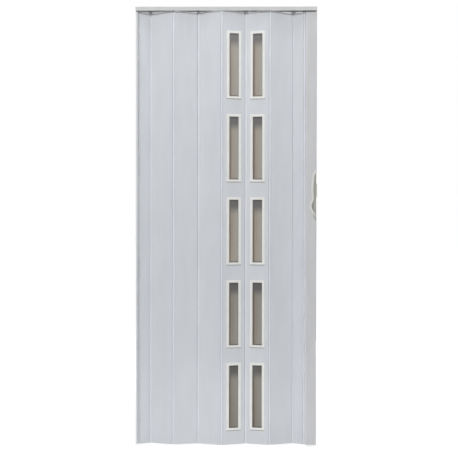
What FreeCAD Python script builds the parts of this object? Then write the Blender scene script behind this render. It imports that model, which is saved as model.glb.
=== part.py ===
import FreeCAD, Part
import Sketcher
import math
import os
import re

# Folding door of hollow PVC boards, hung from a head rail and half drawn out.
# Millimetres. X runs along the rail, the side with the windows' light faces -Y, Z is up.
# The origin is the centre of the head rail's top face, which is screwed to the lintel.

doc = FreeCAD.newDocument("FoldingDoor")

# Driving sizes

SIZES = {
    "door_height": (2030, "floor edge of the boards to the top of the head rail"),
    "head_clearance": (4.3, "gap between head rail and board tops"),
    "post_clearance": (2, "gap between head rail and the two end profiles"),
    "fit_gap": (0.2, "sliding fit between pieces that plug together"),
    "cut_past": (1, "a cut runs this far past an open face"),
    "rail_height": (18.5, "head rail, top face to lower edge"),
    "rail_depth": (60, "head rail, front to back"),
    "rail_wall": (1.5, "head rail wall"),
    "rail_slot": (20, "slot the gliders' pins pass through"),
    "rail_upstand": (2, "guide rib along each edge of the slot"),
    "rail_screw_radius": (2.25, "screw hole in the rail's web"),
    "rail_screw_end": (58, "rail end to its first screw hole"),
    "rail_screws": (4, "screw holes in the rail"),
    "board_pitch": (116, "hinge axis to hinge axis of a full board"),
    "half_board_pitch": (58, "hinge axis to hinge axis of an end board"),
    "board_thick": (9, "board, face to face"),
    "board_skin": (1, "wall of a hollow board"),
    "board_nose": (1.5, "rounding of a board's long edges"),
    "board_edge": (4.2, "hinge axis to a board's long edge"),
    "board_rim": (9, "board edge to its first hollow, which holds the barb groove"),
    "cells_each_side": (2, "hollows on each side of a full board's middle one"),
    "half_cells_each_side": (0, "the same in an end board"),
    "fold_1": (24, "first fold from the wall, behind the rail's middle, as every odd one"),
    "fold_2": (12, "second fold, in front of the rail's middle, as every even one"),
    "fold_3": (13, "third fold, behind"),
    "fold_4": (23, "fold in front, between the plain and the glazed boards"),
    "fold_5": (13, "fold behind, between the glazed boards"),
    "fold_6": (13, "fold in front, past the glazed boards"),
    "fold_7": (26, "last fold, behind"),
    "hinge_radius": (3.7, "round back of a hinge strip"),
    "hinge_neck": (1.4, "web of a hinge strip"),
    "barb_reach": (5.6, "hinge axis to the back of the barbed head"),
    "barb_length": (3.6, "barbed head, back to tip"),
    "barb_width": (3.6, "barbed head at its back"),
    "hinge_rise": (3.5, "hinge strip above the board tops"),
    "wall_strip_width": (8.5, "wall strip, wall face to board side"),
    "wall_strip_depth": (28, "wall strip, front to back"),
    "wall_strip_base": (2, "web of the wall strip"),
    "wall_strip_leg": (1.6, "outer legs of the wall strip"),
    "wall_strip_rib": (9, "middle rib of the wall strip, which holds the groove"),
    "wall_screw_radius": (2.25, "screw hole in the wall strip"),
    "wall_screw_end": (102.5, "end of the wall strip to its first screw hole"),
    "wall_screws": (4, "screw holes in the wall strip"),
    "post_width": (51, "lead post, hinge side to leading edge"),
    "post_depth": (30, "lead post, front to back"),
    "post_wall": (2, "lead post wall"),
    "post_nose": (4, "rounding of the lead post's long edges"),
    "window_rows": (5, "windows in a glazed board"),
    "window_top": (84, "board top to the first window frame"),
    "window_bottom": (64, "last window frame to the board's lower edge"),
    "window_gap": (68.5, "between two window frames"),
    "frame_width": (71, "window frame over all"),
    "frame_border": (13, "flange of a window frame"),
    "frame_rise": (3, "window frame proud of the board"),
    "frame_bevel": (1.6, "bevel round the outer and inner edges of a window frame"),
    "frame_collar": (1.8, "collar of a window frame, which plugs into the board"),
    "pane_thick": (2.5, "smoked acrylic pane"),
    "glider_length": (30, "glider block, along the rail"),
    "glider_depth": (40, "glider block, front to back"),
    "glider_height": (5, "glider block"),
    "pin_radius": (2.5, "pin from glider to board"),
    "foot_depth": (30, "foot plugged into the board's middle hollow"),
    "grip_top_lobe": (845, "rail top to the widest place of the grip's upper lobe"),
    "grip_lobe_pitch": (73, "widest place of the upper lobe to that of the lower one"),
    "grip_top_depth": (15.7, "upper lobe, leading edge to its widest place"),
    "grip_low_depth": (23, "lower lobe, leading edge to its widest place"),
    "grip_head_radius": (37, "bend at the top of the grip"),
    "grip_head_rise": (58, "widest place of the upper lobe to the middle of that bend"),
    "grip_top_radius": (400, "sweep of the upper lobe"),
    "grip_waist_radius": (15.5, "hollow between the lobes"),
    "grip_low_radius": (36.5, "sweep of the lower lobe"),
    "grip_tail_angle": (25, "slope of the tail below the lower lobe"),
    "grip_past": (12, "the grip's outline runs this far past the leading edge"),
    "grip_length_above": (110, "upper lobe's widest place to the top of the post's grip length"),
    "grip_length_below": (95, "lower lobe's widest place to the bottom of the post's grip length"),
    "grip_wall": (1.6, "wall and web of the grip's liner"),
    "grip_rim_width": (11.5, "bevelled rim round the grip"),
    "grip_rim_rise": (4, "rim proud of the post"),
    "grip_rim_bevel": (3, "bevel along both edges of the rim"),
    "grip_nose": (3, "catch nose proud of the leading edge"),
    "grip_nose_length": (60, "catch nose, top to bottom"),
    "grip_nose_thick": (7, "catch nose, front to back"),
    "latch_width": (8, "thumb slide of the latch"),
    "latch_length": (26, "thumb slide, top to bottom"),
    "latch_thick": (9, "thumb slide, front to back"),
    "latch_inset": (9.5, "leading edge to the middle of the thumb slide"),
    "latch_drop": (8, "widest place of the lower lobe to the middle of the thumb slide"),
    "latch_bevel": (1.5, "bevel round the thumb slide"),
    "latch_pin_radius": (2.4, "pin that joins the two thumb slides"),
}

sheet = doc.addObject("Spreadsheet::Sheet", "Sizes")
sheet.set("A1", "size")
sheet.set("B1", "value")
sheet.set("C1", "what it is")
for row, (alias, (number, note)) in enumerate(SIZES.items(), start=2):
    sheet.set(f"A{row}", alias)
    sheet.set(f"B{row}", str(number))
    sheet.setAlias(f"B{row}", alias)
    sheet.set(f"C{row}", note)
doc.recompute()

# Layout: what follows from the driving sizes, worked out once

layout = doc.addObject("App::VarSet", "Layout")


def bound(text):
    """The expression with each driving or derived size written as its full reference."""

    def full(match):
        word = match.group(0)
        if word in SIZES:
            return "Sizes." + word
        if word in layout.PropertiesList:
            return "Layout." + word
        return word

    return re.sub(r"(?<![.\w])[a-z]\w*", full, text)


def derive(name, text, kind="App::PropertyFloat"):
    layout.addProperty(kind, name, "Layout", "")
    layout.setExpression(name, bound(text))
    doc.recompute([layout])


def value(text):
    """The number that an expression has now."""
    result = layout.evalExpression(bound(text))
    return float(getattr(result, "Value", result))


derive("board_top", "-(rail_height + head_clearance)")
derive("board_length", "door_height - rail_height - head_clearance")
derive("post_top", "-(rail_height + post_clearance)")
derive("post_length", "door_height - rail_height - post_clearance")
derive("cell_height", "board_thick - 2 * board_skin")
derive("wall_screw_pitch", "(post_length - 2 * wall_screw_end) / (wall_screws - 1)")

BOARDS = [
    "half_panel_wall",
    "panel_1",
    "panel_2",
    "panel_3",
    "panel_4",
    "panel_5",
    "panel_6",
    "half_panel_lead",
]
GLAZED = ["panel_4", "panel_5"]
FOLDS = len(BOARDS) - 1
HINGE_DEPTHS = ["0"] + [f"{'-' if fold % 2 == 0 else ''}fold_{fold}" for fold in range(1, FOLDS + 1)] + ["0"]


def is_half(name):
    return name.startswith("half")


def pitch_of(name):
    return "half_board_pitch" if is_half(name) else "board_pitch"


# Each board runs from one hinge axis to the next, so its slant follows from the depths of both.
derive("run_0", "0")
for index, name in enumerate(BOARDS):
    rise = f"({HINGE_DEPTHS[index + 1]} - ({HINGE_DEPTHS[index]}))"
    derive(f"slant_{index}", f"asin({rise} / {pitch_of(name)})", "App::PropertyAngle")
    derive(f"run_{index + 1}", f"run_{index} + {pitch_of(name)} * cos(slant_{index})")
LAST_HINGE = len(BOARDS)
derive("wall_hinge", "wall_strip_width + board_edge")
derive("door_width", f"wall_hinge + run_{LAST_HINGE} + board_edge + post_width")
derive("wall_face", "-door_width / 2")
derive("rail_screw_pitch", "(door_width - 2 * rail_screw_end) / (rail_screws - 1)")
for index in range(LAST_HINGE + 1):
    derive(f"hinge_x_{index}", f"wall_face + wall_hinge + run_{index}")

derive("grip_length_top", "-(grip_top_lobe - grip_length_above) - post_top")
derive("grip_length", "grip_length_above + grip_lobe_pitch + grip_length_below")
derive("window_height", "(board_length - window_top - window_bottom"
       " - (window_rows - 1) * window_gap) / window_rows")
derive("window_pitch", "window_height + window_gap")
derive("glass_width", "frame_width - 2 * frame_border")
derive("glass_height", "window_height - 2 * frame_border")
derive("cutout_width", "glass_width + 2 * (frame_collar + fit_gap)")
derive("cutout_height", "glass_height + 2 * (frame_collar + fit_gap)")


# Sketch helpers: every corner is tied to the origin by expressions

ORIGIN = -1
START, END, CENTRE = range(1, 4)
TINY = 1e-6


def body_called(name):
    body = doc.addObject("PartDesign::Body", name)
    body.Label = name
    return body


def sketch_on(body, name, role, offset=None):
    """A sketch on one of the body's own planes, moved along its normal by an expression."""
    sketch = body.newObject("Sketcher::SketchObject", name)
    plane = next(item for item in body.Origin.OriginFeatures if item.Role == role)
    sketch.AttachmentSupport = [(plane, "")]
    sketch.MapMode = "FlatFace"
    if offset:
        sketch.setExpression("AttachmentOffset.Base.z", bound(offset))
    return sketch


def hold(sketch, kind, name, text, *places):
    """A named dimension bound to an expression."""
    index = sketch.addConstraint(Sketcher.Constraint(kind, *places, value(text)))
    label = re.sub(r"\W", "", f"{sketch.Name}_{name}")
    sketch.renameConstraint(index, label)
    sketch.setExpression(f"Constraints.{label}", bound(text))


def pin(sketch, geometry, point, label, across, up):
    """Ties a point to the origin at an across and an up distance."""
    for kind, text in (("DistanceX", across), ("DistanceY", up)):
        if abs(value(text)) < TINY:
            axis = -2 if kind == "DistanceX" else -1
            sketch.addConstraint(Sketcher.Constraint("PointOnObject", geometry, point, axis))
        else:
            hold(sketch, kind, label + kind[-1], text, ORIGIN, START, geometry, point)


def flat(across, up):
    return FreeCAD.Vector(value(across), value(up), 0)


def polygon(sketch, corners):
    """A closed outline of straight sides through the corners, each a pair of expressions."""
    count = len(corners)
    lines = []
    for here, there in zip(corners, corners[1:] + corners[:1]):
        lines.append(sketch.addGeometry(Part.LineSegment(flat(*here), flat(*there)), False))
    for place in range(count):
        following = lines[(place + 1) % count]
        sketch.addConstraint(Sketcher.Constraint("Coincident", lines[place], END, following, START))
    for place, corner in enumerate(corners):
        pin(sketch, lines[place], START, f"Corner{lines[place]}", *corner)
    return lines


def rectangle(sketch, left, right, low, high):
    return polygon(sketch, [(left, low), (right, low), (right, high), (left, high)])


def circle(sketch, across, up, radius):
    shape = Part.Circle(flat(across, up), FreeCAD.Vector(0, 0, 1), value(radius))
    index = sketch.addGeometry(shape, False)
    hold(sketch, "Radius", f"Radius{index}", radius, index)
    pin(sketch, index, CENTRE, f"Centre{index}", across, up)
    return index


def pad(body, name, sketch, length, reverse=False, middle=False):
    feature = body.newObject("PartDesign::Pad", name)
    feature.Profile = sketch
    feature.setExpression("Length", bound(length))
    feature.Reversed = reverse
    feature.Midplane = middle
    doc.recompute()
    return feature


def pocket(body, name, sketch, length=None, reverse=False, middle=False):
    """Cuts the sketch away, right through when no length is given, and proves that it cut."""
    before = body.Shape.Volume
    feature = body.newObject("PartDesign::Pocket", name)
    feature.Profile = sketch
    feature.Reversed = reverse
    feature.Midplane = middle
    if length:
        feature.setExpression("Length", bound(length))
    else:
        feature.Type = "ThroughAll"
    doc.recompute()
    if body.Shape.Volume > before - TINY:
        raise RuntimeError(f"{body.Label}: {name} cuts nothing")
    return feature


def repeat(body, name, feature, role, count, step, reverse=False):
    """Repeats a feature in a row along one of the body's axes."""
    pattern = body.newObject("PartDesign::LinearPattern", name)
    pattern.Originals = [feature]
    axis = next(item for item in body.Origin.OriginFeatures if item.Role == role)
    pattern.Direction = (axis, [""])
    pattern.Reversed = reverse
    pattern.setExpression("Occurrences", bound(count))
    pattern.setExpression("Length", bound(f"({step}) * ({count} - 1)"))
    body.Tip = pattern
    doc.recompute()
    return pattern


def round_edges(body, name, radius, chosen):
    """Rounds the edges that the test picks out by their middle and direction."""
    base = body.Tip
    names = []
    for number, edge in enumerate(base.Shape.Edges, start=1):
        middle = edge.valueAt((edge.FirstParameter + edge.LastParameter) / 2)
        if chosen(edge, middle):
            names.append(f"Edge{number}")
    feature = body.newObject("PartDesign::Fillet", name)
    feature.Base = (base, names)
    feature.setExpression("Radius", bound(radius))
    doc.recompute()
    return feature


def upright(edge):
    """True for a straight edge along Z."""
    first, last = edge.Vertexes[0].Point, edge.Vertexes[-1].Point
    return abs(first.x - last.x) < TINY and abs(first.y - last.y) < TINY


def place(target, across="0", back="0", up="0", turn="0"):
    text = f"placement(vector({across}; {back}; {up}); rotation(vector(0; 0; 1); {turn}))"
    target.setExpression("Placement", bound(text))


def barb(sketch, axis, sign, face, gap="0"):
    """A web with a barbed head, as a hinge strip plugs into a board, or its groove when gap is set.

    The web runs along X from the face, on the side that the sign gives, and the head locks
    behind its square shoulders. Distances are counted from the hinge axis.
    """
    web = f"(hinge_neck / 2 + {gap})"
    shoulder = f"(barb_width / 2 + {gap})"
    reaches = [
        (face, web),
        (f"(barb_reach - {gap})", web),
        (f"(barb_reach - {gap})", shoulder),
        (f"(barb_reach + barb_length + {gap})", web),
    ]
    upper = [(f"{axis} {sign} {reach}", up) for reach, up in reaches]
    lower = [(across, f"-{up}") for across, up in reversed(upper)]
    polygon(sketch, upper + lower)


def barb_groove(body, name, axis, sign):
    """Cuts the groove for the hinge strip whose axis lies board_edge outside the edge."""
    groove = sketch_on(body, name, "XY_Plane")
    barb(groove, axis, sign, "(board_edge - cut_past)", "fit_gap")
    return pocket(body, f"{name}Cut", groove)


# Head rail: a PVC channel, its slot edged by two guide ribs, with screw holes in the web

def head_rail():
    body = body_called("head_rail")
    section = sketch_on(body, "RailSection", "YZ_Plane", "wall_face")
    outer = "rail_depth / 2"
    inner = "rail_depth / 2 - rail_wall"
    slot = "rail_slot / 2"
    rib = "rail_slot / 2 + rail_wall"
    floor = "rail_wall - rail_height"
    rib_top = "rail_wall + rail_upstand - rail_height"
    right = [
        (slot, "-rail_height"),
        (outer, "-rail_height"),
        (outer, "0"),
    ]
    inside = [
        (inner, "-rail_wall"),
        (inner, floor),
        (rib, floor),
        (rib, rib_top),
        (slot, rib_top),
    ]
    left = [(f"-({across})", up) for across, up in reversed(right)]
    inside_left = [(f"-({across})", up) for across, up in reversed(inside)]
    polygon(section, right + left + inside_left + inside)
    pad(body, "RailLength", section, "door_width")
    screws = sketch_on(body, "ScrewHole", "XY_Plane")
    circle(screws, "wall_face + rail_screw_end", "0", "rail_screw_radius")
    hole = pocket(body, "Screw", screws, "rail_wall")
    repeat(body, "ScrewRow", hole, "X_Axis", "rail_screws", "rail_screw_pitch")
    return body


# Wall strip: an E-shaped profile screwed to the wall, whose middle rib holds the first hinge strip

def wall_strip():
    body = body_called("wall_strip")
    outline = sketch_on(body, "StripOutline", "XY_Plane")
    half = "wall_strip_depth / 2"
    rectangle(outline, "0", "wall_strip_width", f"-{half}", half)
    pad(body, "StripLength", outline, "post_length", reverse=True)
    rib = "wall_strip_rib / 2"
    leg = f"{half} - wall_strip_leg"
    for side, low, high in (("Back", rib, leg), ("Front", f"-({leg})", f"-({rib})")):
        hollow = sketch_on(body, f"{side}Hollow", "XY_Plane")
        rectangle(hollow, "wall_strip_base", "wall_strip_width + cut_past", low, high)
        pocket(body, f"{side}HollowCut", hollow)
    barb_groove(body, "StripGroove", "wall_hinge", "-")
    screws = sketch_on(body, "StripScrew", "YZ_Plane")
    front = f"-({rib} + {leg}) / 2"
    circle(screws, front, "-wall_screw_end", "wall_screw_radius")
    hole = pocket(body, "StripScrewHole", screws, "wall_strip_base", reverse=True)
    repeat(body, "StripScrewRow", hole, "Z_Axis", "wall_screws", "wall_screw_pitch", reverse=True)
    place(body, "wall_face", "0", "post_top")
    return body


# Boards: extruded hollow PVC with webs, a barb groove along each edge and rounded corners

def board(index, name):
    body = body_called(name)
    pitch = pitch_of(name)
    cells = "half_cells_each_side" if is_half(name) else "cells_each_side"
    half = "board_thick / 2"
    outline = sketch_on(body, f"Outline{index}", "XY_Plane")
    rectangle(outline, "board_edge", f"{pitch} - board_edge", f"-{half}", half)
    pad(body, f"Extrusion{index}", outline, "board_length", reverse=True)
    round_edges(body, f"Noses{index}", "board_nose", lambda edge, middle: upright(edge))
    count = f"(2 * {cells} + 1)"
    room = f"({pitch} - 2 * (board_edge + board_rim))"
    cell = f"(({room} - ({count} - 1) * board_skin) / {count})"
    first = "board_edge + board_rim"
    hollow = sketch_on(body, f"Cell{index}", "XY_Plane")
    rectangle(hollow, first, f"{first} + {cell}", "-cell_height / 2", "cell_height / 2")
    cut = pocket(body, f"CellCut{index}", hollow)
    if value(count) > 1:
        repeat(body, f"Cells{index}", cut, "X_Axis", count, f"{cell} + board_skin")
    barb_groove(body, f"NearGroove{index}", "0", "+")
    barb_groove(body, f"FarGroove{index}", pitch, "-")
    if name in GLAZED:
        light = sketch_on(body, f"Light{index}", "XZ_Plane")
        rectangle(light, f"{pitch} / 2 - cutout_width / 2", f"{pitch} / 2 + cutout_width / 2",
                  "-window_top - window_height / 2 - cutout_height / 2",
                  "-window_top - window_height / 2 + cutout_height / 2")
        opening = pocket(body, f"LightCut{index}", light, "2 * board_thick", middle=True)
        repeat(body, f"Lights{index}", opening, "Z_Axis", "window_rows", "window_pitch", reverse=True)
    place(body, f"hinge_x_{index}", HINGE_DEPTHS[index], "board_top", f"slant_{index}")
    return body


# Hinge strips: soft PVC, a round back with a barbed head on a short web to each side

def hinge_strip(index):
    body = body_called(f"hinge_strip_{index}")
    length = "board_length + hinge_rise"
    back = sketch_on(body, f"HingeBack{index}", "XY_Plane")
    circle(back, "0", "0", "hinge_radius")
    pad(body, f"HingeBackLength{index}", back, length, reverse=True)
    before = f"slant_{index - 1}" if index > 0 else "0 deg"
    after = f"slant_{index}" if index < LAST_HINGE else "0 deg"
    for side, turn in (("Before", f"180 deg + {before}"), ("After", after)):
        wing = sketch_on(body, f"{side}Wing{index}", "XY_Plane")
        turned = f"placement(vector(0; 0; 0); rotation(vector(0; 0; 1); {turn}))"
        wing.setExpression("AttachmentOffset", bound(turned))
        barb(wing, "0", "+", "(hinge_radius / 2)")
        pad(body, f"{side}WingLength{index}", wing, length, reverse=True)
    place(body, f"hinge_x_{index}", HINGE_DEPTHS[index], "board_top + hinge_rise")
    return body


# Window frames: a bevelled flange on each face of the board, with a collar plugged into the cut-out

def window_frame(index, name, row):
    body = body_called(f"window_frame_{name[-1]}_{row + 1}")
    label = f"{name[-1]}{row + 1}"
    face = "board_thick / 2"
    seat = "pane_thick / 2 + fit_gap"
    for side, sign in (("Front", -1), ("Back", 1)):
        rise = sketch_on(body, f"{side}Flange{label}", "XZ_Plane", f"{-sign} * ({face})")
        rectangle(rise, "-frame_width / 2", "frame_width / 2", "-window_height / 2", "window_height / 2")
        rectangle(rise, "-glass_width / 2", "glass_width / 2", "-glass_height / 2", "glass_height / 2")
        pad(body, f"{side}FlangePad{label}", rise, "frame_rise", reverse=sign > 0)
        collar = sketch_on(body, f"{side}Collar{label}", "XZ_Plane", f"{-sign} * ({face})")
        half_wide = "(glass_width / 2 + frame_collar)"
        half_high = "(glass_height / 2 + frame_collar)"
        rectangle(collar, f"-{half_wide}", half_wide, f"-{half_high}", half_high)
        rectangle(collar, "-glass_width / 2", "glass_width / 2", "-glass_height / 2", "glass_height / 2")
        pad(body, f"{side}CollarPad{label}", collar, f"{face} - ({seat})", reverse=sign < 0)
    proud = value(f"{face} + frame_rise")
    bevel(body, f"FrameBevel{label}", "frame_bevel",
          lambda edge, middle: abs(abs(middle.y) - proud) < TINY)
    seat_in_board(body, index, name, row)
    return body


def bevel(body, name, size, chosen):
    base = body.Tip
    names = []
    for number, edge in enumerate(base.Shape.Edges, start=1):
        if chosen(edge, edge.valueAt((edge.FirstParameter + edge.LastParameter) / 2)):
            names.append(f"Edge{number}")
    feature = body.newObject("PartDesign::Chamfer", name)
    feature.Base = (base, names)
    feature.setExpression("Size", bound(size))
    doc.recompute()
    return feature


def seat_in_board(target, index, name, row):
    """Puts a piece at the middle of one window of a board."""
    along = f"{pitch_of(name)} / 2"
    drop = f"window_top + window_height / 2 + {row} * window_pitch"
    place(target,
          f"hinge_x_{index} + {along} * cos(slant_{index})",
          f"{HINGE_DEPTHS[index]} + {along} * sin(slant_{index})",
          f"board_top - ({drop})",
          f"slant_{index}")


# Panes: flat smoked acrylic, held between the collars of the two frames

def pane(index, name, row):
    body = body_called(f"pane_{name[-1]}_{row + 1}")
    label = f"{name[-1]}{row + 1}"
    sheet_outline = sketch_on(body, f"PaneOutline{label}", "XZ_Plane")
    half_wide = "(cutout_width / 2 - fit_gap)"
    half_high = "(cutout_height / 2 - fit_gap)"
    rectangle(sheet_outline, f"-{half_wide}", half_wide, f"-{half_high}", half_high)
    pad(body, f"PaneSheet{label}", sheet_outline, "pane_thick", middle=True)
    seat_in_board(body, index, name, row)
    return body


# Lead post: a hollow profile with the last barb groove, notched at its leading edge for the grip.
# It is in two nodes: the lengths above and below the grip, and the length that the grip is let into.

POST_FACE = "board_edge + post_width"
TOP_LOBE = "(-grip_top_lobe - post_top)"
LOW_LOBE = "(-grip_top_lobe - grip_lobe_pitch - post_top)"


def heading(vector):
    """The angle of a vector in a sketch, anticlockwise from its X axis."""
    return math.atan2(vector.y, vector.x) % (2 * math.pi)


def grip_outline(sketch, inset, closed=True):
    """The two-lobed grip, seen from the front. Its open side passes the post's leading edge.

    The bend at its head, the upper sweep, the waist, the lower sweep and the tail run into each
    other without a corner. A positive inset draws the same form smaller, parallel to itself.
    """
    radii = {
        "Head": f"(grip_head_radius - ({inset}))",
        "Top": f"(grip_top_radius - ({inset}))",
        "Waist": f"(grip_waist_radius + ({inset}))",
        "Low": f"(grip_low_radius - ({inset}))",
    }
    size = {name: value(text) for name, text in radii.items()}
    top_x = f"({POST_FACE} - grip_top_depth + grip_top_radius)"
    low_x = f"({POST_FACE} - grip_low_depth + grip_low_radius)"
    edge = f"({POST_FACE} + grip_past)"
    centre = {"Top": flat(top_x, TOP_LOBE), "Low": flat(low_x, LOW_LOBE)}

    # The head touches the upper sweep from inside, and the waist touches both sweeps from outside.
    rise = value("grip_head_rise")
    nearer = size["Top"] - size["Head"]
    centre["Head"] = centre["Top"] + FreeCAD.Vector(-math.sqrt(nearer ** 2 - rise ** 2), rise, 0)
    across = centre["Low"] - centre["Top"]
    reach_top = size["Top"] + size["Waist"]
    reach_low = size["Low"] + size["Waist"]
    along = (across.Length ** 2 + reach_top ** 2 - reach_low ** 2) / (2 * across.Length)
    unit = across / across.Length
    sideways = FreeCAD.Vector(unit.y, -unit.x, 0) * math.sqrt(reach_top ** 2 - along ** 2)
    centre["Waist"] = centre["Top"] + unit * along - sideways * math.copysign(1, sideways.x)

    head_end = heading(centre["Head"] - centre["Top"])
    top_end = heading(centre["Waist"] - centre["Top"])
    low_start = heading(centre["Waist"] - centre["Low"])
    low_end = math.pi + math.radians(value("grip_tail_angle"))
    overhang = value(edge) - centre["Head"].x
    head_start = math.acos(overhang / size["Head"])
    spans = {
        "Head": (head_start, head_end),
        "Top": (head_end, top_end),
        "Waist": (low_start - math.pi, top_end - math.pi),
        "Low": (low_start, low_end),
    }
    arcs = {}
    for name, (start, end) in spans.items():
        whole = Part.Circle(centre[name], FreeCAD.Vector(0, 0, 1), size[name])
        arcs[name] = sketch.addGeometry(Part.ArcOfCircle(whole, start, end), False)
        hold(sketch, "Radius", f"{name}Radius", radii[name], arcs[name])
    tail_start = centre["Low"] + FreeCAD.Vector(math.cos(low_end), math.sin(low_end), 0) * size["Low"]
    drop = (value(edge) - tail_start.x) / math.tan(math.radians(value("grip_tail_angle")))
    tail_end = FreeCAD.Vector(value(edge), tail_start.y - drop, 0)
    tail = sketch.addGeometry(Part.LineSegment(tail_start, tail_end), False)

    joins = [
        (arcs["Head"], END, arcs["Top"], START),
        (arcs["Top"], END, arcs["Waist"], END),
        (arcs["Waist"], START, arcs["Low"], START),
        (arcs["Low"], END, tail, START),
    ]
    for join in joins:
        sketch.addConstraint(Sketcher.Constraint("Tangent", *join))
    pin(sketch, arcs["Top"], CENTRE, "TopLobe", top_x, TOP_LOBE)
    pin(sketch, arcs["Low"], CENTRE, "LowLobe", low_x, LOW_LOBE)
    hold(sketch, "DistanceY", "HeadRise", f"{TOP_LOBE} + grip_head_rise", ORIGIN, START, arcs["Head"], CENTRE)
    hold(sketch, "DistanceX", "HeadEnd", edge, ORIGIN, START, arcs["Head"], START)
    hold(sketch, "DistanceX", "TailEnd", edge, ORIGIN, START, tail, END)
    slope = sketch.addConstraint(
        Sketcher.Constraint("Angle", tail, math.radians(value("grip_tail_angle - 90"))))
    sketch.renameConstraint(slope, f"{sketch.Name}_TailSlope")
    sketch.setExpression(f"Constraints.{sketch.Name}_TailSlope",
                         bound("(grip_tail_angle - 90) * 1 deg"))
    if closed:
        bend = FreeCAD.Vector(math.cos(head_start), math.sin(head_start), 0) * size["Head"]
        side = sketch.addGeometry(Part.LineSegment(tail_end, centre["Head"] + bend), False)
        sketch.addConstraint(Sketcher.Constraint("Coincident", tail, END, side, START))
        sketch.addConstraint(Sketcher.Constraint("Coincident", side, END, arcs["Head"], START))


def post_extrusion(name, top, length):
    """A length of the post: rounded long edges, one hollow and the groove of the last hinge strip."""
    body = body_called(name)
    half = "post_depth / 2"
    outline = sketch_on(body, "PostOutline", "XY_Plane", top)
    rectangle(outline, "board_edge", POST_FACE, f"-{half}", half)
    pad(body, "PostExtrusion", outline, length, reverse=True)
    round_edges(body, "PostNoses", "post_nose", lambda edge, middle: upright(edge))
    hollow = sketch_on(body, "PostHollow", "XY_Plane")
    inner = f"{half} - post_wall"
    rectangle(hollow, "board_edge + board_rim", f"{POST_FACE} - post_wall", f"-({inner})", inner)
    pocket(body, "PostHollowCut", hollow)
    barb_groove(body, "PostGroove", "0", "+")
    place(body, f"hinge_x_{LAST_HINGE}", "0", "post_top")
    return body


def lead_post():
    """The post above and below the grip."""
    body = post_extrusion("lead_post", "0", "post_length")
    room = sketch_on(body, "GripRoom", "XZ_Plane")
    rectangle(room, "board_edge - cut_past", f"{POST_FACE} + cut_past",
              "grip_length_top - grip_length", "grip_length_top")
    pocket(body, "GripRoomCut", room, "2 * post_depth", middle=True)
    return body


def lead_post_grip():
    """The length of the post that the grip is let into."""
    body = post_extrusion("lead_post_grip", "grip_length_top", "grip_length")
    notch = sketch_on(body, "GripNotch", "XZ_Plane")
    grip_outline(notch, "0")
    pocket(body, "GripNotchCut", notch, "2 * post_depth", middle=True)
    return body


LATCH_ACROSS = f"({POST_FACE} - latch_inset)"
LATCH_UP = f"({LOW_LOBE} - latch_drop)"


# Grip liner: one moulding that lines the notch, with a web in the middle and a recess on each face

def grip_liner():
    body = body_called("grip_liner")
    filled = sketch_on(body, "LinerOutline", "XZ_Plane")
    grip_outline(filled, "fit_gap")
    pad(body, "LinerBlock", filled, "post_depth", middle=True)
    trim = sketch_on(body, "LinerTrim", "XY_Plane")
    rectangle(trim, POST_FACE, f"{POST_FACE} + 2 * grip_past", "-post_depth", "post_depth")
    pocket(body, "LinerTrimCut", trim)
    face = value(POST_FACE)
    round_edges(body, "LinerNoses", "post_nose",
                lambda edge, middle: upright(edge) and abs(middle.x - face) < TINY)
    for side, sign in (("Front", 1), ("Back", -1)):
        recess = sketch_on(body, f"{side}Recess", "XZ_Plane", f"{sign} * post_depth / 2")
        grip_outline(recess, "fit_gap + grip_wall")
        pocket(body, f"{side}RecessCut", recess, "post_depth / 2 - grip_wall / 2", reverse=sign < 0)
    pin_hole = sketch_on(body, "LatchHole", "XZ_Plane")
    circle(pin_hole, LATCH_ACROSS, LATCH_UP, "latch_pin_radius + fit_gap")
    pocket(body, "LatchHoleCut", pin_hole, "2 * grip_wall", middle=True)
    nose = sketch_on(body, "CatchNose", "XZ_Plane")
    rectangle(nose, f"{POST_FACE} - grip_nose", f"{POST_FACE} + grip_nose",
              f"{TOP_LOBE} - grip_nose_length / 2", f"{TOP_LOBE} + grip_nose_length / 2")
    pad(body, "CatchNosePad", nose, "grip_nose_thick", middle=True)
    place(body, f"hinge_x_{LAST_HINGE}", "0", "post_top")
    return body


# Grip rims: a bevelled band swept round the notch on each face of the post

def grip_rim(side, sign):
    body = body_called(f"grip_rim_{side}")
    path = sketch_on(body, f"RimPath{side}", "XZ_Plane", f"{-sign} * post_depth / 2")
    grip_outline(path, "grip_wall + fit_gap - grip_rim_width / 2", closed=False)
    doc.recompute()
    section = body.newObject("Sketcher::SketchObject", f"RimSection{side}")
    section.AttachmentSupport = [(path, "Edge1")]
    section.MapMode = "NormalToEdge"
    doc.recompute()
    half = "grip_rim_width / 2"
    top = "(grip_rim_width / 2 - grip_rim_bevel)"
    low = f"{sign} * (grip_rim_rise - grip_rim_bevel)"
    proud = f"{sign} * grip_rim_rise"
    polygon(section, [("0", f"-{half}"), (low, f"-{half}"), (proud, f"-{top}"),
                      (proud, top), (low, half), ("0", half)])
    bead = body.newObject("PartDesign::AdditivePipe", f"RimBead{side}")
    bead.Profile = section
    bead.Spine = (path, [f"Edge{number}" for number in range(1, len(path.Shape.Edges) + 1)])
    doc.recompute()
    ends_at = f"{POST_FACE} - post_nose"
    trim = sketch_on(body, f"RimTrim{side}", "XY_Plane")
    rectangle(trim, ends_at, f"{ends_at} + 2 * grip_past", "-post_depth", "post_depth")
    pocket(body, f"RimTrimCut{side}", trim)
    place(body, f"hinge_x_{LAST_HINGE}", "0", "post_top")
    return body


# Latch: a thumb slide on each side of the liner's web, joined by a pin through it

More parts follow.
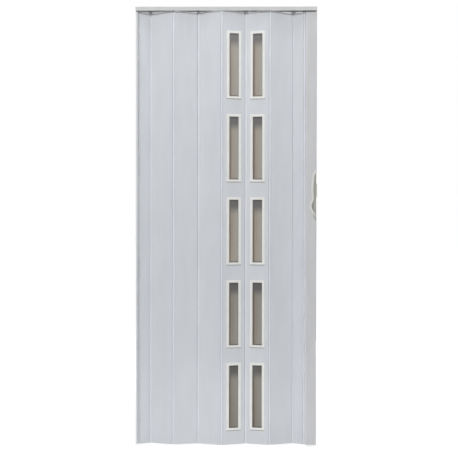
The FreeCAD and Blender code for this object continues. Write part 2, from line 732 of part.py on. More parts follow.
def latch():
    body = body_called("latch")
    web = "grip_wall / 2 + fit_gap"
    for side, sign in (("Front", -1), ("Back", 1)):
        slide = sketch_on(body, f"{side}Slide", "XZ_Plane", f"{-sign} * ({web})")
        rectangle(slide, f"{LATCH_ACROSS} - latch_width / 2", f"{LATCH_ACROSS} + latch_width / 2",
                  f"{LATCH_UP} - latch_length / 2", f"{LATCH_UP} + latch_length / 2")
        pad(body, f"{side}SlidePad", slide, "latch_thick", reverse=sign > 0)
    outer = value(f"{web} + latch_thick")
    bevel(body, "SlideBevel", "latch_bevel",
          lambda edge, middle: abs(abs(middle.y) - outer) < TINY)
    peg = sketch_on(body, "SlidePin", "XZ_Plane")
    circle(peg, LATCH_ACROSS, LATCH_UP, "latch_pin_radius")
    pad(body, "SlidePinPad", peg, f"2 * ({web}) + latch_thick", middle=True)
    place(body, f"hinge_x_{LAST_HINGE}", "0", "post_top")
    return body


# Gliders: a nylon block on the rail's ribs, a pin through the slot and a foot plugged in below

def glider(number, across, back, slant, foot_wide, foot_thick, seat):
    ribs = "rail_wall + rail_upstand - rail_height"
    block = doc.addObject("Part::Box", f"GliderBlock{number}")
    block.setExpression("Length", bound("glider_length"))
    block.setExpression("Width", bound("glider_depth"))
    block.setExpression("Height", bound("glider_height"))
    place(block, f"{across} - glider_length / 2", f"{back} - glider_depth / 2", f"{ribs} + fit_gap")
    stem = doc.addObject("Part::Cylinder", f"GliderPin{number}")
    stem.setExpression("Radius", bound("pin_radius"))
    stem.setExpression("Height", bound(f"{ribs} + 2 * fit_gap + pin_radius - ({seat})"))
    place(stem, across, back, f"{seat} - fit_gap")
    foot = doc.addObject("Part::Box", f"GliderFoot{number}")
    foot.setExpression("Length", bound(foot_wide))
    foot.setExpression("Width", bound(foot_thick))
    foot.setExpression("Height", bound("foot_depth"))
    place(foot,
          f"{across} - {foot_wide} / 2 * cos({slant}) + {foot_thick} / 2 * sin({slant})",
          f"{back} - {foot_wide} / 2 * sin({slant}) - {foot_thick} / 2 * cos({slant})",
          f"{seat} - foot_depth",
          slant)
    whole = doc.addObject("Part::MultiFuse", f"Glider{number}")
    whole.Shapes = [block, stem, foot]
    return whole


def gliders():
    count = "(2 * cells_each_side + 1)"
    room = "(board_pitch - 2 * (board_edge + board_rim))"
    foot_wide = f"(({room} - ({count} - 1) * board_skin) / {count} - 2 * fit_gap)"
    hung = []
    for index, name in enumerate(BOARDS):
        if is_half(name):
            continue
        half = f"{pitch_of(name)} / 2"
        hung.append(glider(index,
                           f"(hinge_x_{index} + {half} * cos(slant_{index}))",
                           f"({HINGE_DEPTHS[index]} + {half} * sin(slant_{index}))",
                           f"slant_{index}", foot_wide, "(cell_height - 2 * fit_gap)", "board_top"))
    hollow = "board_edge + board_rim"
    hung.append(glider(LAST_HINGE,
                       f"(hinge_x_{LAST_HINGE} + ({hollow} + {POST_FACE} - post_wall) / 2)",
                       "0", "0 deg",
                       f"({POST_FACE} - post_wall - ({hollow}) - 2 * fit_gap)",
                       "(post_depth - 2 * post_wall - 2 * fit_gap)", "post_top"))
    node = doc.addObject("Part::Compound", "gliders")
    node.Label = "gliders"
    node.Links = hung
    doc.recompute()
    return node


subparts = [head_rail(), wall_strip()]
for index, name in enumerate(BOARDS):
    subparts.append(board(index, name))
for index in range(LAST_HINGE + 1):
    subparts.append(hinge_strip(index))
subparts.append(lead_post())
subparts.append(lead_post_grip())
subparts.append(grip_liner())
subparts.append(grip_rim("front", -1))
subparts.append(grip_rim("back", 1))
subparts.append(latch())
subparts.append(gliders())
for name in GLAZED:
    for row in range(int(value("window_rows"))):
        subparts.append(window_frame(BOARDS.index(name), name, row))
        subparts.append(pane(BOARDS.index(name), name, row))

doc.recompute()

# Checks and files

for item in doc.Objects:
    if "Invalid" in item.State or "Error" in item.State:
        raise RuntimeError(f"{item.Label} failed: {item.State}")
for item in subparts:
    if item.Shape.isNull() or not item.Shape.isValid():
        raise RuntimeError(f"{item.Label} has no valid shape")

os.makedirs("parts", exist_ok=True)
for item in subparts:
    item.Shape.exportStep(f"parts/{item.Label}.step")
    print(f"{item.Label}: {len(item.Shape.Solids)} solid(s), {item.Shape.Volume / 1000:.1f} cm3")
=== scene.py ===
import math

import bmesh
import bpy
from mathutils import Euler, Matrix, Vector


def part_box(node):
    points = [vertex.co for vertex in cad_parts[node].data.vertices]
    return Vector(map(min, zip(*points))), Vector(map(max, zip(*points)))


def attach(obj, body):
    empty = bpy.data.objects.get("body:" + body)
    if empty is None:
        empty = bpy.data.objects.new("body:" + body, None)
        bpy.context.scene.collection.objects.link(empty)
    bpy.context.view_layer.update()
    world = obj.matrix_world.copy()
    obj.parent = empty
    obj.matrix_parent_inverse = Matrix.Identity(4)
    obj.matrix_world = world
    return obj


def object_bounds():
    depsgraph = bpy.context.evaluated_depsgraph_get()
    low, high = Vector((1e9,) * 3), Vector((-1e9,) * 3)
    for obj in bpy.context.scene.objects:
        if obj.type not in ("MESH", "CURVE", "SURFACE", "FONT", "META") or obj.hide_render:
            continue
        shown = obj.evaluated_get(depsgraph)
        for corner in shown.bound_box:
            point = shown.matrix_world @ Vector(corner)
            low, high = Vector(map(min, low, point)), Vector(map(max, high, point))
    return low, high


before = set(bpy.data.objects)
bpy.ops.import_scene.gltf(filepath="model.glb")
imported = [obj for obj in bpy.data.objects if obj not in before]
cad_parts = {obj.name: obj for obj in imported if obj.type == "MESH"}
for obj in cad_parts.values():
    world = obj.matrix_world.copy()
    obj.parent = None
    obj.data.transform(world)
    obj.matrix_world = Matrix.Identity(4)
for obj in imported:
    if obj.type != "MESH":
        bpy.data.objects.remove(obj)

cad_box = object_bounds()

# Head rail
# An open channel of rigid PVC, drawn through a die and screwed to the lintel. Its face is satin, and
# a thin dark line of painted shade runs along its lower edge, for the shadowed gap under the rail.

MM = 0.001
RAIL_LIGHT = "#d3d4d3"
RAIL_DARK = "#c9cacb"
RAIL_ROUGHNESS = 0.42
RAIL_LINE_MM = (160, 0.9, 0.9)
RAIL_WAVE_MM = (700, 16, 16)
RAIL_EDGE_MM = 0.4

# A fade is an axis of the piece, where along it the fade starts and ends, from 0 to 1, and its colour.
# Painted shade: the rail's lower edge is darkened, for the shade under it.
RAIL_PAINTED_SHADE = ("Z", 0.06, 0.02, "#5c5d5d")

# Real draw lines are about 0.2 mm wide. They are drawn 0.7 to 0.9 mm wide here, so that they show.
LINE_DEPTH_MM = 0.02
LINE_DETAIL = 3.0
WAVE_DEPTH_MM = 0.05
WAVE_DETAIL = 1.0
MOTTLE_MM = (45, 45, 180)
MOTTLE_DETAIL = 4.0
STREAK_RANGE = (0.75, 1.25)
PVC_GLOSS = 0.45
SMOOTHER = 0.05
ROUGHER = 0.07
NOISE_RANGE = (0.3, 0.7)

# A colour mix node's places for its first and second colour, and for the mixed one.
FIRST_COLOUR = 6
SECOND_COLOUR = 7
MIXED_COLOUR = 2

# An edge is softened in this many steps where its two faces turn by more than this many degrees.
EDGE_STEPS = 2
EDGE_ANGLE = 50


def linear(code):
    """A colour written as sRGB hex, turned into linear RGBA by the sRGB curve."""
    channels = [int(code[at:at + 2], 16) / 255 for at in (1, 3, 5)]
    return [c / 12.92 if c <= 0.04045 else ((c + 0.055) / 1.055) ** 2.4 for c in channels] + [1.0]


def add(tree, kind, values=None, links=None, **settings):
    """Adds a node, sets its options and socket values, and links its inputs."""
    node = tree.nodes.new(kind)
    for name, setting in settings.items():
        setattr(node, name, setting)
    for socket, number in (values or {}).items():
        node.inputs[socket].default_value = number
    for socket, source in (links or {}).items():
        tree.links.new(source, node.inputs[socket])
    return node


def new_material(name):
    """An empty material and its shader, wired to the output."""
    material = bpy.data.materials.new(name)
    material.use_nodes = True
    tree = material.node_tree
    tree.nodes.clear()
    shader = add(tree, "ShaderNodeBsdfPrincipled")
    add(tree, "ShaderNodeOutputMaterial", links={"Surface": shader.outputs["BSDF"]})
    return material, tree, shader


def grain(tree, size_mm, detail):
    """Noise whose grains measure size_mm along X, Y and Z."""
    place = add(tree, "ShaderNodeTexCoord")
    stretched = add(tree, "ShaderNodeMapping", {"Scale": [1 / (size * MM) for size in size_mm]},
                    {"Vector": place.outputs["Object"]})
    noise = add(tree, "ShaderNodeTexNoise", {"Scale": 1.0, "Detail": detail},
                {"Vector": stretched.outputs["Vector"]})
    return noise.outputs["Fac"]


def tinted(tree, pattern, pattern_range, light, dark):
    """A colour that goes from light to dark as the pattern goes through its range."""
    start, end = pattern_range
    share = add(tree, "ShaderNodeMapRange", {"From Min": start, "From Max": end}, {"Value": pattern})
    mix = add(tree, "ShaderNodeMix", {FIRST_COLOUR: linear(light), SECOND_COLOUR: linear(dark)},
              {"Factor": share.outputs["Result"]}, data_type="RGBA")
    return mix.outputs[MIXED_COLOUR]


def uneven_sheen(tree, shader, pattern, smooth, rough):
    """Lets the surface go from smooth to rough with the pattern."""
    start, end = NOISE_RANGE
    sheen = add(tree, "ShaderNodeMapRange",
                {"From Min": start, "From Max": end, "To Min": smooth, "To Max": rough},
                {"Value": pattern})
    tree.links.new(sheen.outputs["Result"], shader.inputs["Roughness"])


def piece_axes(tree):
    """How far along X, Y and Z of its piece a point lies, each from 0 to 1."""
    place = add(tree, "ShaderNodeTexCoord")
    return add(tree, "ShaderNodeSeparateXYZ", links={"Vector": place.outputs["Generated"]}).outputs


def faded(tree, colour, fades):
    """Fades the colour smoothly to each fade's own colour, one fade after the other."""
    for axis, start, end, shade in fades:
        share = add(tree, "ShaderNodeMapRange", {"From Min": start, "From Max": end},
                    {"Value": piece_axes(tree)[axis]}, interpolation_type="SMOOTHSTEP")
        mix = add(tree, "ShaderNodeMix", {SECOND_COLOUR: linear(shade)},
                  {"Factor": share.outputs["Result"], FIRST_COLOUR: colour}, data_type="RGBA")
        colour = mix.outputs[MIXED_COLOUR]
    return colour


def drawn_pvc(name, light, dark, line_mm, wave_mm, roughness, gloss=PVC_GLOSS, fades=()):
    """PVC drawn through a die: fine draw lines, a slow waviness, and a faintly uneven sheen."""
    material, tree, shader = new_material(name)
    lines = grain(tree, line_mm, LINE_DETAIL)
    waves = grain(tree, wave_mm, WAVE_DETAIL)
    mottle = grain(tree, MOTTLE_MM, MOTTLE_DETAIL)
    streaks = add(tree, "ShaderNodeMath", links={0: lines, 1: mottle}, operation="ADD")
    colour = faded(tree, tinted(tree, streaks.outputs[0], STREAK_RANGE, light, dark), fades)
    tree.links.new(colour, shader.inputs["Base Color"])
    uneven_sheen(tree, shader, mottle, roughness - SMOOTHER, roughness + ROUGHER)
    shader.inputs["Specular IOR Level"].default_value = gloss
    fine = add(tree, "ShaderNodeBump", {"Strength": 1.0, "Distance": LINE_DEPTH_MM * MM},
               {"Height": lines})
    slow = add(tree, "ShaderNodeBump", {"Strength": 1.0, "Distance": WAVE_DEPTH_MM * MM},
               {"Height": waves, "Normal": fine.outputs["Normal"]})
    tree.links.new(slow.outputs["Normal"], shader.inputs["Normal"])
    return material


def dress(node, material):
    """Gives a CAD node its material in every slot."""
    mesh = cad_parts[node].data
    if not mesh.materials:
        mesh.materials.append(material)
    for slot in range(len(mesh.materials)):
        mesh.materials[slot] = material


def soften(node, radius_mm):
    """Rounds a CAD node's sharp edges a little, as the die or the mould leaves them."""
    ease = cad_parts[node].modifiers.new("eased_edges", "BEVEL")
    ease.width = radius_mm * MM
    ease.segments = EDGE_STEPS
    ease.limit_method = "ANGLE"
    ease.angle_limit = math.radians(EDGE_ANGLE)


# Drawn along the rail: the eye sees a quiet satin band with faint level streaks.
rail_pvc = drawn_pvc("satin_pvc_drawn_rail", RAIL_LIGHT, RAIL_DARK, RAIL_LINE_MM, RAIL_WAVE_MM,
                     RAIL_ROUGHNESS, fades=[RAIL_PAINTED_SHADE])
dress("head_rail", rail_pvc)
soften("head_rail", RAIL_EDGE_MM)

# Gliders
# Nylon blocks, each with a pin and a foot, injection moulded. They run in the rail, and the boards
# and the lead post hang from them.

NYLON_LIGHT = "#e9e8e2"
NYLON_DARK = "#dedcd4"
NYLON_ROUGHNESS = 0.38

# The spark texture of a real mould is about 0.05 mm. It is drawn at 0.5 mm, so that it shows.
PIT_MM = (0.5, 0.5, 0.5)
PIT_DEPTH_MM = 0.01
PIT_DETAIL = 3.0
CLOUD_MM = (35, 35, 35)
CLOUD_DETAIL = 3.0
MOULDED_GLOSS = 0.5
MOULD_SMOOTHER = 0.04
MOULD_ROUGHER = 0.06


def moulded(name, light, dark, roughness, gloss=MOULDED_GLOSS, fades=()):
    """Injection moulded plastic: the mould's spark texture and faint clouds of colour and sheen."""
    material, tree, shader = new_material(name)
    pits = grain(tree, PIT_MM, PIT_DETAIL)
    clouds = grain(tree, CLOUD_MM, CLOUD_DETAIL)
    colour = faded(tree, tinted(tree, clouds, NOISE_RANGE, light, dark), fades)
    tree.links.new(colour, shader.inputs["Base Color"])
    uneven_sheen(tree, shader, clouds, roughness - MOULD_SMOOTHER, roughness + MOULD_ROUGHER)
    shader.inputs["Specular IOR Level"].default_value = gloss
    bump = add(tree, "ShaderNodeBump", {"Strength": 1.0, "Distance": PIT_DEPTH_MM * MM}, {"Height": pits})
    tree.links.new(bump.outputs["Normal"], shader.inputs["Normal"])
    return material


# Undyed nylon: a warm, slightly cloudy white with a soft shine.
dress("gliders", moulded("natural_nylon_moulded", NYLON_LIGHT, NYLON_DARK, NYLON_ROUGHNESS))

# Wall strip and lead post
# Rigid PVC end profiles, drawn like the rail but upright. The strip is screwed to the wall, and the
# post is the leading edge that the hand pulls, with a pale band of painted highlight down its left edge.

# Painted light: the strip's colours are paler than the post's, to lift the shade in its hollows.
STRIP_LIGHT = "#e6e7e9"
STRIP_DARK = "#dedfe1"
POST_LIGHT = "#cfd0d2"
POST_DARK = "#c8c9cb"
# Painted highlight: the post's left edge is made paler, to lift the shade beside the last fold.
POST_PAINTED_HIGHLIGHT = ("X", 0.06, 0.02, "#f4f5f7")
UPRIGHT_LINE_MM = (0.9, 0.9, 160)
UPRIGHT_WAVE_MM = (22, 22, 700)
PROFILE_ROUGHNESS = 0.45
PROFILE_EDGE_MM = 0.6

# Drawn upright: the eye sees two satin bars with faint plumb streaks. The strip is painted paler than
# the post, as painted light that lifts the shade in its hollows.
strip_pvc = drawn_pvc("satin_pvc_drawn_wall_strip", STRIP_LIGHT, STRIP_DARK, UPRIGHT_LINE_MM,
                      UPRIGHT_WAVE_MM, PROFILE_ROUGHNESS)
post_pvc = drawn_pvc("satin_pvc_drawn_lead_post", POST_LIGHT, POST_DARK, UPRIGHT_LINE_MM,
                     UPRIGHT_WAVE_MM, PROFILE_ROUGHNESS, fades=[POST_PAINTED_HIGHLIGHT])
dress("wall_strip", strip_pvc)
soften("wall_strip", PROFILE_EDGE_MM)
for node in ("lead_post", "lead_post_grip"):
    dress(node, post_pvc)
    soften(node, PROFILE_EDGE_MM)

# Boards
# Hollow PVC boards, drawn upright in a pale blue grey and embossed with faint streaks of wood grain.
# Each has a pale line of painted highlight down its left edge and a grey line of painted shade down
# its right edge, at the folds.

BOARD_LIGHT = "#d5d8dd"
BOARD_DARK = "#d0d3d7"
BOARD_ROUGHNESS = 0.48
# Painted highlight down each board's left edge and painted shade down its right edge, at the hinges.
BOARD_PAINTED_HIGHLIGHT = ("X", 0.018, 0.01, "#f8f9fb")
BOARD_PAINTED_SHADE = ("X", 0.984, 0.99, "#adafb3")
FULL_BOARDS = 6

# The pores of embossed wood grain are about 0.5 mm wide. They are drawn 1.6 mm wide, so that they show.
BOARD_GRAIN_MM = (1.6, 1.6, 240)

# Embossed and matt: the eye sees a dull, even face with long streaks that are barely darker.
board_pvc = drawn_pvc("matt_pvc_drawn_embossed_board", BOARD_LIGHT, BOARD_DARK, BOARD_GRAIN_MM,
                      UPRIGHT_WAVE_MM, BOARD_ROUGHNESS, fades=[BOARD_PAINTED_HIGHLIGHT, BOARD_PAINTED_SHADE])
for node in ("half_panel_wall", "half_panel_lead"):
    dress(node, board_pvc)
for number in range(FULL_BOARDS):
    dress(f"panel_{number + 1}", board_pvc)

# Hinge strips
# Strips of soft PVC with barbed heads, pressed into the grooves along the edges of two boards. They
# bend at every fold.

HINGE_LIGHT = "#eff2f7"
HINGE_DARK = "#e5e8ee"
HINGE_LINE_MM = (0.7, 0.7, 120)
HINGE_ROUGHNESS = 0.3
HINGE_GLOSS = 0.6
HINGE_STRIPS = 9

# Softer plastic: the eye sees a line that is a little lighter and glossier than the boards.
hinge_pvc = drawn_pvc("soft_pvc_coextruded_hinge", HINGE_LIGHT, HINGE_DARK, HINGE_LINE_MM,
                      UPRIGHT_WAVE_MM, HINGE_ROUGHNESS, gloss=HINGE_GLOSS)
for number in range(HINGE_STRIPS):
    dress(f"hinge_strip_{number}", hinge_pvc)

# Window frames
# Polystyrene frames, injection moulded and snapped into the boards from both sides. A dark line of
# painted shade runs along the lower edge of each.

FRAME_LIGHT = "#f0f0ed"
FRAME_DARK = "#e9e9e5"
# Painted shade: the lower edge of each frame is darkened, for the shadow the frame casts below it.
FRAME_PAINTED_SHADE = ("Z", 0.011, 0.006, "#8c8b88")
FRAME_ROUGHNESS = 0.38
FRAME_GLOSS = 0.35
GLAZED_BOARDS = (4, 5)
WINDOW_ROWS = (1, 2, 3, 4, 5)

# Satin moulded white: the eye sees the whitest lines of the door, with no hard glint.
frame_plastic = moulded("white_polystyrene_satin", FRAME_LIGHT, FRAME_DARK, FRAME_ROUGHNESS,
                        gloss=FRAME_GLOSS, fades=[FRAME_PAINTED_SHADE])
for board in GLAZED_BOARDS:
    for row in WINDOW_ROWS:
        dress(f"window_frame_{board}_{row}", frame_plastic)

# Panes
# Smoked acrylic, cast in sheets with faint upright streaks. Painted shade darkens it towards the top,
# and painted shadow lines run along its top, bottom and left edges inside the frame.
# The panes of the two lower rows are a shade darker, as painted shade in a darker copy of the material.

SMOKE_WARM = "#afa497"
SMOKE_COOL = "#aaa8a0"
SMOKE_DEEP = "#9c9286"
# Painted shade and shadow: darker towards the top, along the top and bottom lips and the left side.
PANE_PAINTED_SHADE = "#6b6967"
PANE_PAINTED_SHADOW_SIDE = "#776a5d"
PANE_PAINTED_SHADOW_LIP = "#4e4b48"
ACROSS = ("X", 0.3, 0.9, SMOKE_COOL)
LEFT_EDGE = ("X", 0.32, 0.12, PANE_PAINTED_SHADOW_SIDE)
TOP_FADE = ("Z", 0.75, 0.91, PANE_PAINTED_SHADE)
TOP_LIP = ("Z", 0.955, 0.985, PANE_PAINTED_SHADOW_LIP)
LOW_LIP = ("Z", 0.035, 0.01, PANE_PAINTED_SHADE)
SMOKE_MM = (4, 4, 220)
SMOKE_DETAIL = 3.0
SMOKE_RANGE = (0.35, 0.65)
SMOKE_DEPTH_MM = 0.05
SMOKE_RELIEF = 0.6
SMOKE_THROUGH = 0.6
PANE_ROUGHNESS = 0.34
PANE_GLOSS = 0.1
ACRYLIC_IOR = 1.49
UPPER_SHADE = 0.9
# Painted shade: the two lower rows get a darker copy of the pane material.
LOWER_ROWS_PAINTED_SHADE = 0.68
LOWER_FROM_ROW = 4


def smoked_acrylic(name, shade):
    """Cast sheet. A lower shade makes its colours darker, as painted shade."""
    material, tree, shader = new_material(name)
    streaks = grain(tree, SMOKE_MM, SMOKE_DETAIL)
    smoke = tinted(tree, streaks, SMOKE_RANGE, SMOKE_WARM, SMOKE_DEEP)
    smoke = faded(tree, smoke, [ACROSS, LEFT_EDGE, TOP_FADE, TOP_LIP, LOW_LIP])
    shaded = add(tree, "ShaderNodeHueSaturation", {"Value": shade}, {"Color": smoke})
    tree.links.new(shaded.outputs["Color"], shader.inputs["Base Color"])
    shader.inputs["Transmission Weight"].default_value = SMOKE_THROUGH
    shader.inputs["Roughness"].default_value = PANE_ROUGHNESS
    shader.inputs["IOR"].default_value = ACRYLIC_IOR
    shader.inputs["Specular IOR Level"].default_value = PANE_GLOSS
    bump = add(tree, "ShaderNodeBump", {"Strength": SMOKE_RELIEF, "Distance": SMOKE_DEPTH_MM * MM},
               {"Height": streaks})
    tree.links.new(bump.outputs["Normal"], shader.inputs["Normal"])
    return material


# Half clear and slightly frosted: the eye sees a warm grey glow without anything sharp behind it.
upper_acrylic = smoked_acrylic("smoked_acrylic_cast_sheet", UPPER_SHADE)
lower_acrylic = smoked_acrylic("smoked_acrylic_cast_sheet_painted_shade", LOWER_ROWS_PAINTED_SHADE)
for board in GLAZED_BOARDS:
    for row in WINDOW_ROWS:
        dress(f"pane_{board}_{row}", upper_acrylic if row < LOWER_FROM_ROW else lower_acrylic)

# Grip
# A darker moulding lines the notch of the lead post, pale rims are welded round it on both faces,
# and a thumb slide works the catch. All are ABS, and the rims are darker low down by painted shade.

RIM_LIGHT = "#e4e4e1"
RIM_DARK = "#dbdbd8"
# Painted shade: the rims darken low down, where their lower limbs face the floor.
RIM_PAINTED_SHADE = ("Z", 0.17, 0.07, "#b3b4ae")
RIM_ROUGHNESS = 0.3
LINER_LIGHT = "#c4c5bd"
LINER_DARK = "#b8b9b1"
LINER_ROUGHNESS = 0.42
GRIP_EDGE_MM = 0.4

# Moulded ABS: the eye sees a pale rim with a soft shine round a duller grey hollow.
rim_plastic = moulded("pale_abs_satin_rim", RIM_LIGHT, RIM_DARK, RIM_ROUGHNESS, fades=[RIM_PAINTED_SHADE])
liner_plastic = moulded("grey_abs_moulded_grip", LINER_LIGHT, LINER_DARK, LINER_ROUGHNESS)
for node in ("grip_rim_front", "grip_rim_back"):
    dress(node, rim_plastic)
for node in ("grip_liner", "latch"):
    dress(node, liner_plastic)
    soften(node, GRIP_EDGE_MM)

# Screws
# Zinc plated pan head screws with a cross recess. Four hold the rail to the lintel, four the wall
# strip to the jamb, and each is shown as far as the face that it screws into.

ZINC_LIGHT = "#c3c6ca"
ZINC_DARK = "#a9acb0"
ZINC_SMOOTH = 0.26
ZINC_ROUGH = 0.42

# Barrelling leaves marks of about 0.1 mm. They are drawn at 0.3 mm, so that they show.
SPECK_MM = (0.3, 0.3, 0.3)
SPECK_DETAIL = 4.0
SPECK_DEPTH_MM = 0.004
HEAD_RADIUS = 3.4 * MM
HEAD_HEIGHT = 1.9 * MM
HEAD_CROWN = 0.7 * MM
SHANK_RADIUS = 2.0 * MM
SHANK_SHORT = 0.1 * MM
CROSS_REACH = 1.9 * MM
CROSS_HALF = 0.4 * MM
CROSS_DEPTH = 1.1 * MM
CROSS_TAPER = 0.6
ROUND_STEPS = 24
CROWN_STEPS = 4
SCREWS_EACH = 4
RAIL_WEB = 1.5 * MM
RAIL_SCREW_END = 58 * MM
STRIP_WEB = 2 * MM
STRIP_SCREW_END = 102.5 * MM
STRIP_SCREW_ACROSS = -8.45 * MM


def zinc_steel():
    """Zinc plated steel, barrelled: a grey metal with fine specks and an uneven shine."""
    material, tree, shader = new_material("zinc_plated_steel_barrelled")
    specks = grain(tree, SPECK_MM, SPECK_DETAIL)
    colour = tinted(tree, specks, NOISE_RANGE, ZINC_LIGHT, ZINC_DARK)
    tree.links.new(colour, shader.inputs["Base Color"])
    uneven_sheen(tree, shader, specks, ZINC_SMOOTH, ZINC_ROUGH)
    shader.inputs["Metallic"].default_value = 1.0
    bump = add(tree, "ShaderNodeBump", {"Strength": 1.0, "Distance": SPECK_DEPTH_MM * MM},
               {"Height": specks})
    tree.links.new(bump.outputs["Normal"], shader.inputs["Normal"])
    return material


def ring(mesh, radius, height):
    """A closed ring of vertices and its edges."""
    turns = [2 * math.pi * step / ROUND_STEPS for step in range(ROUND_STEPS)]
    points = [mesh.verts.new((radius * math.cos(turn), radius * math.sin(turn), height)) for turn in turns]
    edges = [mesh.edges.new((points[step - 1], points[step])) for step in range(ROUND_STEPS)]
    return points, edges


def wall_between(mesh, first, second):
    """Joins two outlines, point by point, with faces of four corners."""
    for step in range(len(first)):
        mesh.faces.new((first[step - 1], first[step], second[step], second[step - 1]))


def cross(mesh, height, scale=1.0):
    """The outline of a cross recess, twelve corners."""
    reach, half = CROSS_REACH * scale, CROSS_HALF * scale
    arm = [(reach, -half), (reach, half), (half, half)]
    points = []
    for quarter in range(4):
        spin = Matrix.Rotation(quarter * math.pi / 2, 3, "Z")
        points += [mesh.verts.new(spin @ Vector((across, along, height))) for across, along in arm]
    return points


def screw(name, place, aim, web, material):
    """A screw whose head rests at place and whose shank goes through the web towards aim."""
    mesh = bmesh.new()
    shank_end = ring(mesh, SHANK_RADIUS, web - SHANK_SHORT)
    mesh.faces.new(shank_end[0])
    shank_top = ring(mesh, SHANK_RADIUS, 0)
    wall_between(mesh, shank_end[0], shank_top[0])
    seat = ring(mesh, HEAD_RADIUS, 0)
    wall_between(mesh, shank_top[0], seat[0])
    last = seat
    for step in range(CROWN_STEPS + 1):
        rise = math.pi / 2 * step / CROWN_STEPS
        radius = HEAD_RADIUS - HEAD_CROWN * (1 - math.cos(rise))
        level = ring(mesh, radius, -(HEAD_HEIGHT - HEAD_CROWN) - HEAD_CROWN * math.sin(rise))
        wall_between(mesh, last[0], level[0])
        last = level
    mouth = cross(mesh, -HEAD_HEIGHT)
    lip = [mesh.edges.new((mouth[step - 1], mouth[step])) for step in range(len(mouth))]
    bmesh.ops.triangle_fill(mesh, edges=last[1] + lip)
    bottom = cross(mesh, -HEAD_HEIGHT + CROSS_DEPTH, CROSS_TAPER)
    wall_between(mesh, mouth, bottom)
    mesh.faces.new(bottom)
    bmesh.ops.recalc_face_normals(mesh, faces=mesh.faces)
    turn = Vector(aim).to_track_quat("Z", "Y").to_matrix().to_4x4()
    mesh.transform(Matrix.Translation(place) @ turn)
    data = bpy.data.meshes.new(name)
    mesh.to_mesh(data)
    mesh.free()
    data.materials.append(material)
    piece = bpy.data.objects.new(name, data)
    bpy.context.collection.objects.link(piece)
    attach(piece, "root")


# Plated steel: the eye sees small grey points of light.
zinc = zinc_steel()
wall_face = cad_box[0][0]
strip_low, strip_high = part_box("wall_strip")
rail_low, rail_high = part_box("head_rail")
rail_pitch = (rail_high[0] - rail_low[0] - 2 * RAIL_SCREW_END) / (SCREWS_EACH - 1)
strip_pitch = (strip_high[2] - strip_low[2] - 2 * STRIP_SCREW_END) / (SCREWS_EACH - 1)
for number in range(SCREWS_EACH):
    rail_place = (rail_low[0] + RAIL_SCREW_END + number * rail_pitch, 0, -RAIL_WEB)
    screw(f"rail_screw_{number + 1}", rail_place, (0, 0, 1), RAIL_WEB, zinc)
    strip_place = (wall_face + STRIP_WEB, STRIP_SCREW_ACROSS,
                   strip_high[2] - STRIP_SCREW_END - number * strip_pitch)
    screw(f"strip_screw_{number + 1}", strip_place, (-1, 0, 0), STRIP_WEB, zinc)

# Floor
# A matt pale studio floor just below the boards. It is lifted to the backdrop's white for every ray
# that shows it to the camera, less so near the door, where it keeps the door's soft shadow.

FLOOR_GAP = 8 * MM
FLOOR_HALF = 30.0
FLOOR_CORNERS = ((-1, -1), (1, -1), (1, 1), (-1, 1))
FLOOR_COLOUR = "#d6d6d6"
FLOOR_ROUGHNESS = 0.9
FLOOR_GLOSS = 0.1
BACKDROP_WHITE = "#ffffff"

# The lift near the door and far from it, and the distances from the rail's middle, in metres,
# between which it grows.
LIFT_NEAR = 0.6
LIFT_FAR = 0.92
NEAR_UP_TO = 2.2
FAR_FROM = 4.0


def seeing_rays(tree):
    """1 for the rays that show the studio to the camera: straight, in a gloss or through a pane."""
    rays = add(tree, "ShaderNodeLightPath").outputs
    seen = rays["Is Camera Ray"]
    for kind in ("Is Transmission Ray", "Is Glossy Ray"):
        seen = add(tree, "ShaderNodeMath", links={0: seen, 1: rays[kind]}, operation="MAXIMUM").outputs[0]
    return seen


floor_mesh = bpy.data.meshes.new("studio_floor")
floor_z = cad_box[0][2] - FLOOR_GAP
corners = [(across * FLOOR_HALF, along * FLOOR_HALF, floor_z) for across, along in FLOOR_CORNERS]
floor_mesh.from_pydata(corners, [], [range(len(corners))])
floor = bpy.data.objects.new("studio_floor", floor_mesh)
bpy.context.collection.objects.link(floor)
floor_paint, floor_tree, floor_shader = new_material("matt_studio_floor")
floor_shader.inputs["Base Color"].default_value = linear(FLOOR_COLOUR)
floor_shader.inputs["Roughness"].default_value = FLOOR_ROUGHNESS
floor_shader.inputs["Specular IOR Level"].default_value = FLOOR_GLOSS
floor_place = add(floor_tree, "ShaderNodeTexCoord")
away = add(floor_tree, "ShaderNodeVectorMath", links={0: floor_place.outputs["Object"]},
           operation="LENGTH")
brighter = add(floor_tree, "ShaderNodeMapRange",
               {"From Min": NEAR_UP_TO, "From Max": FAR_FROM, "To Min": LIFT_NEAR, "To Max": LIFT_FAR},
               {"Value": away.outputs["Value"]})
lift = add(floor_tree, "ShaderNodeMath",
           links={0: seeing_rays(floor_tree), 1: brighter.outputs["Result"]}, operation="MULTIPLY")
floor_shader.inputs["Emission Color"].default_value = linear(BACKDROP_WHITE)
floor_tree.links.new(lift.outputs[0], floor_shader.inputs["Emission Strength"])
floor_mesh.materials.append(floor_paint)

# Light
# Two soft boxes high in front throw the rail's shadow on the boards that fold back, and two stand
# low at the sides. A strip lies near the floor, one box is overhead and one behind lights the back.

SURROUND_COLOUR = "#fafbff"
SURROUND_STRENGTH = 0.15

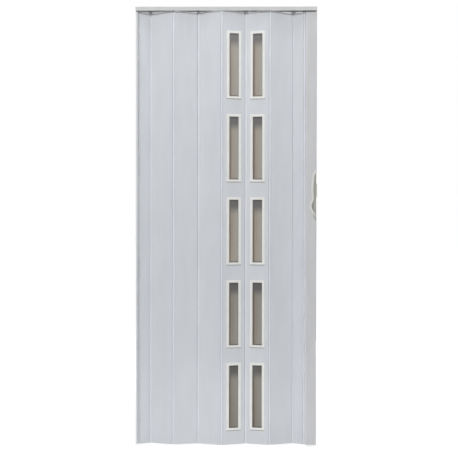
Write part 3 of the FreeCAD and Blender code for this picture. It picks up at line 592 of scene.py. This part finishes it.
# Powers are in watts, the left lamp first where there are two. Places and aims are in metres.
HIGH_POWER = (59, 51)
HIGH_SIZE = (1.6, 0.8)
HIGH_PLACE = (2.2, -3.4, 0.9)
HIGH_AIM = (0, 0, -0.8)
SIDE_POWER = (15, 9.4)
SIDE_SIZE = (2.0, 1.5)
SIDE_PLACE = (2.4, -3.2, -1.3)
SIDE_AIM = (0, 0, -1.2)
LOW_POWER = 0.72
LOW_SIZE = (1.4, 0.15)
LOW_PLACE = (-0.05, -0.5, -1.95)
LOW_AIM = (-0.02, 0, -2.0)
TOP_POWER = 7
TOP_SIZE = (1.6, 0.6)
TOP_PLACE = (0, -0.7, 1.6)
TOP_AIM = (0, 0, -0.4)
BACK_POWER = 110
BACK_SIZE = (3.0, 3.0)
BACK_PLACE = (0.6, 4.0, -0.4)
BACK_AIM = (0, 0, -1.0)


def soft_box(name, power, size, place, aim):
    """A rectangular lamp at place, turned to aim, that the camera doesn't see."""
    light = bpy.data.lights.new(name, "AREA")
    light.energy = power
    light.shape = "RECTANGLE"
    light.size, light.size_y = size
    lamp = bpy.data.objects.new(name, light)
    lamp.location = place
    lamp.rotation_euler = (Vector(aim) - Vector(place)).to_track_quat("-Z", "Y").to_euler()
    lamp.visible_camera = False
    bpy.context.collection.objects.link(lamp)
    return lamp


for side, high_power, side_power in zip((-1, 1), HIGH_POWER, SIDE_POWER):
    soft_box("high_soft_box", high_power, HIGH_SIZE, (side * HIGH_PLACE[0], *HIGH_PLACE[1:]), HIGH_AIM)
    soft_box("side_soft_box", side_power, SIDE_SIZE, (side * SIDE_PLACE[0], *SIDE_PLACE[1:]), SIDE_AIM)
soft_box("low_strip_box", LOW_POWER, LOW_SIZE, LOW_PLACE, LOW_AIM)
soft_box("overhead_soft_box", TOP_POWER, TOP_SIZE, TOP_PLACE, TOP_AIM)
behind = soft_box("back_soft_box", BACK_POWER, BACK_SIZE, BACK_PLACE, BACK_AIM)
behind.visible_transmission = False

world = bpy.data.worlds.new("white_surround")
world.use_nodes = True
sky = world.node_tree
sky.nodes.clear()
lighting = add(sky, "ShaderNodeBackground",
               {"Color": linear(SURROUND_COLOUR), "Strength": SURROUND_STRENGTH})
backdrop = add(sky, "ShaderNodeBackground", {"Color": linear(BACKDROP_WHITE), "Strength": 1.0})
choice = add(sky, "ShaderNodeMixShader",
             links={0: seeing_rays(sky), 1: lighting.outputs[0], 2: backdrop.outputs[0]})
add(sky, "ShaderNodeOutputWorld", links={"Surface": choice.outputs[0]})
bpy.context.scene.world = world

# Camera
# Just above half the door's height and 5 m away through a long lens, turned less than a degree to
# the left and down. Level rows of windows ask for more distance, the tall triangles below the rail
# for less.

CAMERA_PLACE = (0.0822, -5.00, -0.9558)
CAMERA_DOWN = 0.812
CAMERA_LEFT = 0.784
CAMERA_ROLL = 0.090
SENSOR_MM = 36.0
FOCAL_MM = 84.43

camera_data = bpy.data.cameras.new("photo_camera")
camera_data.sensor_width = SENSOR_MM
camera_data.lens = FOCAL_MM
camera = bpy.data.objects.new("photo_camera", camera_data)
camera.location = CAMERA_PLACE
aimed = Euler((math.radians(90 - CAMERA_DOWN), 0, math.radians(CAMERA_LEFT))).to_matrix()
rolled = aimed @ Matrix.Rotation(math.radians(CAMERA_ROLL), 3, "Z")
camera.rotation_euler = rolled.to_euler()
bpy.context.collection.objects.link(camera)
bpy.context.scene.camera = camera
bpy.context.scene.view_settings.view_transform = "Standard"
